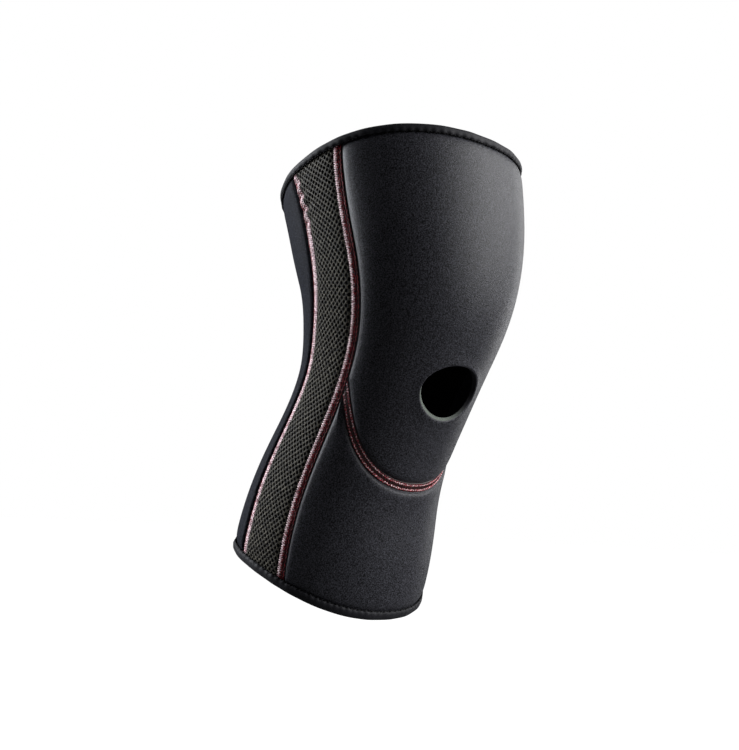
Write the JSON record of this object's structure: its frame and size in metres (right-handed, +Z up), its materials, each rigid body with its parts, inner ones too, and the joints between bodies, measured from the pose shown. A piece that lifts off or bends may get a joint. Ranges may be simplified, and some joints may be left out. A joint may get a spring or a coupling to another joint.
{
  "type": "knee sleeve",
  "caption": "Open-patella knee sleeve of stretch neoprene, with netting strips at the sides, contrast flat seams and rolled bindings, in its worn form on a slightly bent knee.",
  "frame": {"origin": "on the leg's axis inside the knee, in the section that has the patella hole at its front, where the worn sleeve sits", "axes": "+Z up the leg towards the thigh end, the front faces -Y, +X across the knee"},
  "size_m": [0.1534, 0.2005, 0.295],
  "materials": {
    "neoprene": "matt black jersey-faced neoprene",
    "netting": "charcoal spacer netting",
    "edging": "smooth black folded edging",
    "thread": "dark red and pale pink flatlock thread"
  },
  "bodies": {
    "root": {"front_panel": "neoprene", "shin_panel": "neoprene", "back_panel": "neoprene", "side_mesh_left": "netting", "side_mesh_right": "netting", "top_binding": "edging", "bottom_binding": "edging", "front_seam_left": "thread", "front_seam_right": "thread", "rear_seam_left": "thread", "rear_seam_right": "thread", "knee_seam": "thread"}
  },
  "joints": []
}
